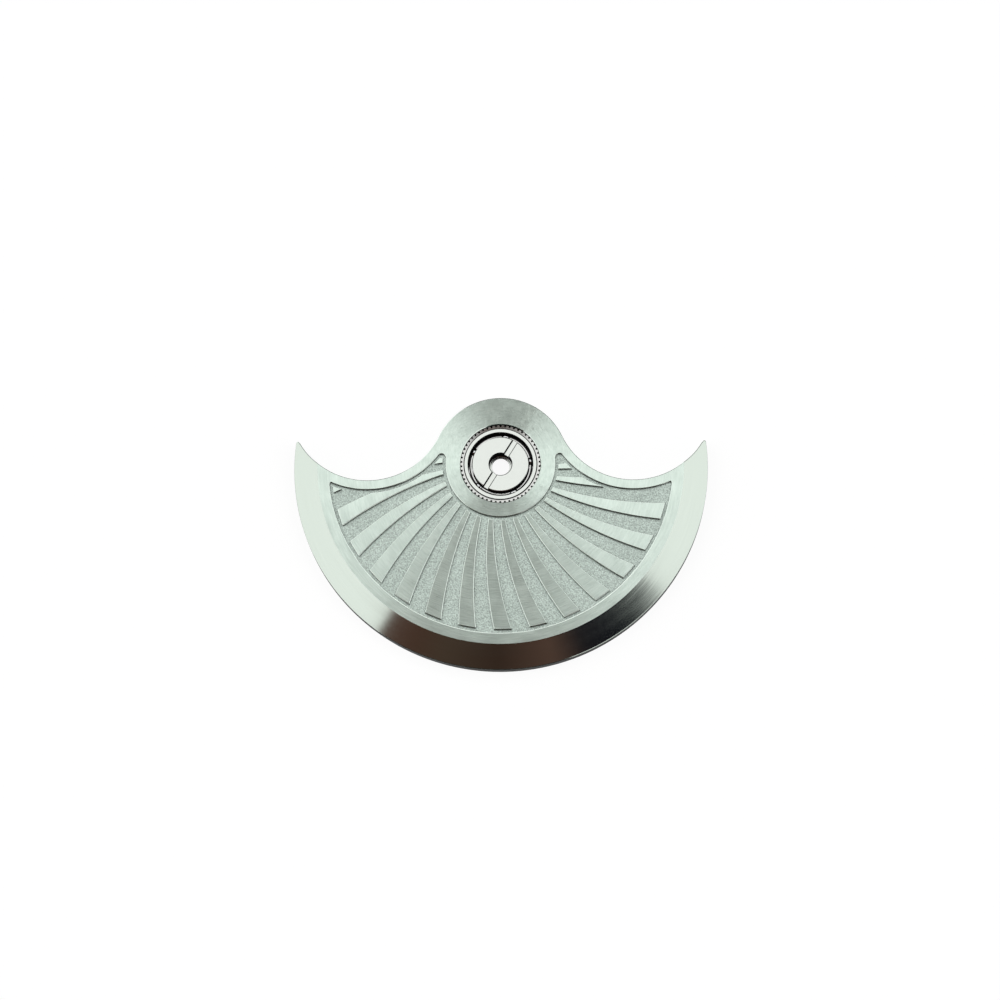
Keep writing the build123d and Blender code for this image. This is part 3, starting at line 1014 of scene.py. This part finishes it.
corners = [(bore, low_cut), (bore, dished(bore) - cut), (bore_cut, dished(bore_cut)),
           (outer_cut, dished(outer_cut)), (outer, dished(outer) - cut), (outer, low_cut),
           (outer_cut, low), (bore_cut, low), (bore, low_cut)]
corner_radius, corner_height = (by_number(step_round, values) for values in zip(*corners))
bent = wired(ring_tree, "GeometryNodeSetPosition", Geometry=grid,
             Position=polar_wire(corner_radius, share * 360.0) + vector(z=corner_height))
joined = wired(ring_tree, "GeometryNodeMergeByDistance", Geometry=bent, Distance=0.0005)
outside = wired(ring_tree, "GeometryNodeFlipFaces", Mesh=joined)
finish_tree(ring_tree, outside, size["Finish"])

# %% Make the toothed ring
teeth = grown("toothed_ring", ring_tree, ring_values)
finish_piece(teeth, "rotor", "teeth", "drive_gear", materials=(tooth_steel, tooth_flank),
             finish_of=lambda face: tooth_steel if abs(face.normal.z) >= FLAT else tooth_flank)

# %% [markdown]
# The bearing's rings are turned parts, so each is a profile spun about the axis. The balls run in a groove of
# the outer race and in one that the inner ring's two halves share.

# %% The outer race
race_bore, race_bottom, race_top, race_round = 2.10, 0.12, 1.47, 0.045
ball_height, ball_circle, ball_radius, groove_radius = 0.80, 1.965, 0.325, 0.34
LAPPED = 0.95  # a face of the race is lapped when the height of its normal is at least this
groove_half = sqrt(groove_radius**2 - (race_bore - ball_circle) ** 2)
groove_span = degrees(asin(groove_half / groove_radius))


def groove(first, last, count=10):
    """Points of the balls' groove in a section, by angle about a ball's centre."""
    points = [polar(groove_radius, first + (last - first) * step / count) for step in range(count + 1)]
    return [(ball_circle + out, ball_height + up) for out, up in points]


race_profile = eased([(race_bore, race_bottom), (race_radius, race_bottom), (race_radius, race_top),
                      (race_bore, race_top)], race_round) + groove(groove_span, -groove_span)
race = turned("race_outer", race_profile)
# Faces of the race that don't look up get painted shade, black: the groove and the walls in the gap
finish_piece(race, "rotor", "bearing", "outer_race", materials=(lapped_steel, dark_steel),
             finish_of=lambda face: lapped_steel if face.normal.z >= LAPPED else dark_steel)

# %% [markdown]
# The slotted disc is the bearing's nut. Its screwdriver slot is a boolean cut with widened upper edges.

# %% The slotted disc
disc_radius, disc_top, disc_round = 1.83, 1.43, 0.055
head_bore, head_chamfer = 0.73, 0.05
spigot_radius, spigot_ceiling = 1.12, 1.12
slot_half, slot_floor, slot_chamfer, slot_angle = 0.16, 1.25, 0.05, 58.5
SLOT_CEILING, SLOT_REACH = 2.0, 3.0
nut_profile = groove(180 - groove_span, 180)
nut_profile += [(spigot_radius, ball_height), (spigot_radius, spigot_ceiling), (head_bore, spigot_ceiling),
                (head_bore, disc_top - head_chamfer), (head_bore + head_chamfer, disc_top)]
nut_profile += eased([(head_bore, disc_top), (disc_radius, disc_top), (disc_radius, spigot_ceiling)],
                     disc_round, closed=False)
nut = turned("slotted_disc", nut_profile, segments=256)

wide_half = slot_half + 2 * slot_chamfer
slot_side = [(slot_half, slot_floor), (slot_half, disc_top - slot_chamfer),
             (wide_half, disc_top + slot_chamfer), (wide_half, SLOT_CEILING)]
slot_section = slot_side + flipped(slot_side)[::-1]
slot_mesh = bmesh.new()
add_prism(slot_mesh, *([slot_mesh.verts.new((x, y, z)) for y, z in slot_section]
                       for x in (-SLOT_REACH, SLOT_REACH)))
bmesh.ops.rotate(slot_mesh, cent=(0, 0, 0), matrix=Matrix.Rotation(radians(slot_angle), 3, "Z"),
                 verts=slot_mesh.verts)
slot_cutter = solid_object("slot_cutter", slot_mesh)
cutting = nut.modifiers.new("slot", "BOOLEAN")
cutting.operation, cutting.solver, cutting.object = "DIFFERENCE", "EXACT", slot_cutter
evaluated(nut)
bpy.data.objects.remove(slot_cutter)


def nut_finish(face):
    """Flat tops are lapped bright; the bore, the slot's walls and the flank get painted shade, black."""
    on_top = face.normal.z >= FLAT and face.calc_center_median().z > slot_floor - NEAR
    return lapped_steel if on_top else dark_steel


finish_piece(nut, "inner_ring", "bearing", "inner_ring_nut", materials=(lapped_steel, dark_steel),
             finish_of=nut_finish)

# %% [markdown]
# The foot carries the land for a screw's head, seen as a thin lip round the opening. It sits on the movement.

# %% The inner ring's foot
screw_bore, post_bore, seat_edge = 0.57, 0.90, 0.10
land_bottom, land_top, spigot_top, foot_round = 0.54, 0.66, 1.10, 0.03
base_profile = groove(180, 180 + groove_span)
base_profile += eased([(disc_radius, ball_height), (disc_radius, 0), (post_bore, 0), (post_bore, land_bottom),
                       (screw_bore, land_bottom), (screw_bore, land_top), (head_bore, land_top),
                       (head_bore, spigot_top), (spigot_radius, spigot_top), (spigot_radius, ball_height)],
                      foot_round, closed=False)
base_profile += [(spigot_radius, ball_height)]
base = turned("ring_foot", base_profile)


def foot_finish(face):
    """The seat, the land and other flat faces are lapped bright, and upright walls get painted shade, black.
    """
    bright = face.calc_center_median().z <= seat_edge or abs(face.normal.z) >= FLAT
    return lapped_steel if bright else dark_steel


finish_piece(base, "inner_ring", "bearing", "inner_ring_base", materials=(lapped_steel, dark_steel),
             finish_of=foot_finish)

# %% [markdown]
# The cage is a thin ring with a pocket for each ball. Geometry Nodes cut the bore and the five pockets out of
# one cylinder in a single boolean. A second small tree places one ball, so each stays a piece of its own.

# %% The cage
ball_row = {"Count": 5, "First Angle": 8.3, "Circle Radius": ball_circle, "Ball Height": ball_height}
cage_gap = 0.04
cage_values = {
    "Outer Radius": race_bore - cage_gap, "Inner Radius": disc_radius + cage_gap, "Bottom": 0.31, "Top": 1.02,
    "Bore Overrun": 0.2, "Pocket Radius": groove_radius, **ball_row, "Finish": cage_steel}
cage_tree, size = new_tree("ball_cage", "GeometryNodeTree", cage_values)


def ball_place(size, number):
    """The centre of a ball in its row, by its number."""
    angle = size["First Angle"] + number * 360.0 / size["Count"]
    return polar_wire(size["Circle Radius"], angle) + vector(z=size["Ball Height"])


def upright_cylinder(radius, depth, middle):
    made = wired(cage_tree, "GeometryNodeMeshCylinder", Vertices=240, Radius=radius, Depth=depth)
    return wired(cage_tree, "GeometryNodeTransform", Geometry=made, Translation=vector(z=middle))


depth, middle = size["Top"] - size["Bottom"], (size["Top"] + size["Bottom"]) * 0.5
band = upright_cylinder(size["Outer Radius"], depth, middle)
opening = upright_cylinder(size["Inner Radius"], depth + size["Bore Overrun"], middle)
spots = wired(cage_tree, "GeometryNodeSetPosition",
              Geometry=wired(cage_tree, "GeometryNodeMeshLine", Count=size["Count"]),
              Position=ball_place(size, wired(cage_tree, "GeometryNodeInputIndex")))
pocket = wired(cage_tree, "GeometryNodeMeshUVSphere", Segments=48, Rings=25, Radius=size["Pocket Radius"])
pockets = wired(cage_tree, "GeometryNodeRealizeInstances",
                wired(cage_tree, "GeometryNodeInstanceOnPoints", Points=spots, Instance=pocket))
cut = wired(cage_tree, "GeometryNodeMeshBoolean", settings={"operation": "DIFFERENCE", "solver": "EXACT"},
            Mesh_1=band, Mesh_2=[opening, pockets])
finish_tree(cage_tree, cut, size["Finish"])
finish_piece(grown("cage_ring", cage_tree, cage_values), "cage", "cage", "ball_cage")

# %% The balls
ball_values = {"Number": 0, "Radius": ball_radius, **ball_row, "Finish": ball_steel}
ball_tree, size = new_tree("bearing_ball", "GeometryNodeTree", ball_values)
sphere = wired(ball_tree, "GeometryNodeMeshUVSphere", Segments=48, Rings=24, Radius=size["Radius"])
placed = wired(ball_tree, "GeometryNodeTransform", Geometry=sphere,
               Translation=ball_place(size, size["Number"]))
finish_tree(ball_tree, placed, size["Finish"])
for number in range(ball_row["Count"]):
    ball = grown(f"bearing_ball_{number + 1}", ball_tree, {**ball_values, "Number": number})
    finish_piece(ball, f"ball_{number + 1}", "balls", f"ball_{number + 1}")

# %% [markdown]
# The stage is a pale sheet under the part. What the camera and the metal see of it is white, and a share of
# plain diffuse keeps a faint shadow.

# %% Floor
FLOOR_SIZE, GLOW, GLOW_SHARE = 0.6, 1.085, 0.85
floor_mesh = bmesh.new()
bmesh.ops.create_grid(floor_mesh, x_segments=1, y_segments=1, size=FLOOR_SIZE)
floor = mesh_object("floor", floor_mesh)
paper = bpy.data.materials.new("white_paper")
paper.use_nodes = True
tree = paper.node_tree
tree.nodes.clear()
diffuse = wired(tree, "ShaderNodeBsdfDiffuse", Color=(0.9, 0.9, 0.9, 1))
glow = wired(tree, "ShaderNodeEmission", Color=(1, 1, 1, 1), Strength=GLOW)
rays = wires_of(add_node(tree, "ShaderNodeLightPath"))
seen = rays["Is Camera Ray"] + (rays["Is Glossy Ray"] + rays["Is Transmission Ray"])
white_share = number_math("MINIMUM", seen, 1.0) * GLOW_SHARE
sheet = wired(tree, "ShaderNodeMixShader", white_share, diffuse, glow)
add_node(tree, "ShaderNodeOutputMaterial", Surface=sheet)
floor.data.materials.append(paper)
print("floor", 2 * FLOOR_SIZE, "m wide")

# %% [markdown]
# The light is a soft white tent, as small shiny goods need: bright walls left and right, a dim patch behind,
# and one dark gap on the near side, which the polished bevel mirrors as its dark band. Sideways and nearwards
# are counted from the camera's place, and each pair of numbers says where an edge begins and where it ends.

# %% Directions of the light
view_turn, back_turn = radians(6.24), radians(73)
world = bpy.data.worlds.new("light_tent")
bpy.context.scene.world = world
world.use_nodes = True
tree = world.node_tree
tree.nodes.clear()
way = wired(tree, "ShaderNodeTexCoord", output="Generated")
sideways = vector_math("DOT_PRODUCT", way, (cos(view_turn), sin(view_turn), 0))
nearwards = vector_math("DOT_PRODUCT", way, (sin(view_turn), -cos(view_turn), 0))
backwards = vector_math("DOT_PRODUCT", way, (cos(back_turn), sin(back_turn), 0))

# %% Light tent
WALL_LIGHT, BACK_LIGHT, BACK_EDGE = 1.04, (0.043, 0.050, 0.046), (0.58, 0.70)
GAP_LEFT, GAP_RIGHT, GAP_TOP, GAP_FOOT = (-0.51, -0.485), (0.52, 0.545), (-0.05, 0.12), (0.56, 0.70)
LOW_FROM, LEFT_SLANT, RIGHT_SLANT = 0.30, 0.85, 0.38
GAP_SHADES = [(0.00, (0.098, 0.052, 0.042)), (0.09, (0.073, 0.036, 0.026)), (0.20, (0.067, 0.041, 0.030)),
              (0.41, (0.042, 0.022, 0.016)), (0.62, (0.096, 0.051, 0.040)), (0.74, (0.011, 0.010, 0.013)),
              (0.84, (0.006, 0.006, 0.010)), (0.95, (0.010, 0.012, 0.015))]
FOOT_SHADE = (0.016, 0.021, 0.019)
tent = [mapped(backwards, WALL_LIGHT, back_light, *BACK_EDGE) for back_light in BACK_LIGHT]
bright = wired(tree, "ShaderNodeCombineColor", *tent)

# Lower down the gap widens to the left and narrows to the right
lowness = number_math("MAXIMUM", nearwards - LOW_FROM, 0.0)
left_mask = mapped(sideways + lowness * LEFT_SLANT, 0.0, 1.0, *GAP_LEFT)
right_mask = mapped(sideways + lowness * RIGHT_SLANT, 1.0, 0.0, *GAP_RIGHT)
gap = left_mask * right_mask * mapped(nearwards, 0.0, 1.0, *GAP_TOP)
shades = add_node(tree, "ShaderNodeValToRGB", mapped(sideways, 0.0, 1.0, -0.5, 0.5))
while len(shades.color_ramp.elements) < len(GAP_SHADES):
    shades.color_ramp.elements.new(0.5)
for element, (position, colour) in zip(shades.color_ramp.elements, GAP_SHADES):
    element.position, element.color = position, (*colour, 1)
dark = between(mapped(nearwards, 0.0, 1.0, *GAP_FOOT), Wire(shades.outputs[0]), FOOT_SHADE)
camera_ray = wired(tree, "ShaderNodeLightPath", output="Is Camera Ray")
shown = between(camera_ray, between(gap, bright, dark), (1, 1, 1))
background = wired(tree, "ShaderNodeBackground", Color=shown, Strength=1.0)
add_node(tree, "ShaderNodeOutputWorld", Surface=background)
print("light tent of", len(tree.nodes), "nodes")

# %% [markdown]
# The camera looks almost straight down: it leans 14.7 degrees towards the near side and stands a little to
# the right, turned so that the part's left and right stay level in the picture.

# %% Camera
lean, distance = radians(14.68), 178.57
aim = Vector((0, 0, top_height))
back = Vector((sin(view_turn) * sin(lean), -cos(view_turn) * sin(lean), cos(lean)))
right = Vector((cos(view_turn), sin(view_turn), 0))
up = Vector((-sin(view_turn) * cos(lean), cos(view_turn) * cos(lean), sin(lean)))
camera_data = bpy.data.cameras.new("camera")
camera = bpy.data.objects.new("camera", camera_data)
bpy.context.scene.collection.objects.link(camera)
bpy.context.scene.camera = camera
level, upwards = (cos(view_turn), -sin(view_turn)), (sin(view_turn), cos(view_turn))
axes = Matrix((*(share[0] * right + share[1] * up for share in (level, upwards)), back))
camera.matrix_world = Matrix.Translation((aim + distance * back) * MM) @ axes.transposed().to_4x4()
camera_data.sensor_width, camera_data.lens = 36.0, 98.81
camera_data.shift_x, camera_data.shift_y = -0.00038, -0.03665
camera_data.clip_start, camera_data.clip_end = 0.01, 10.0
bpy.context.scene.view_settings.view_transform = "Standard"
print("camera at", [round(value, 4) for value in camera.matrix_world.translation], "m")
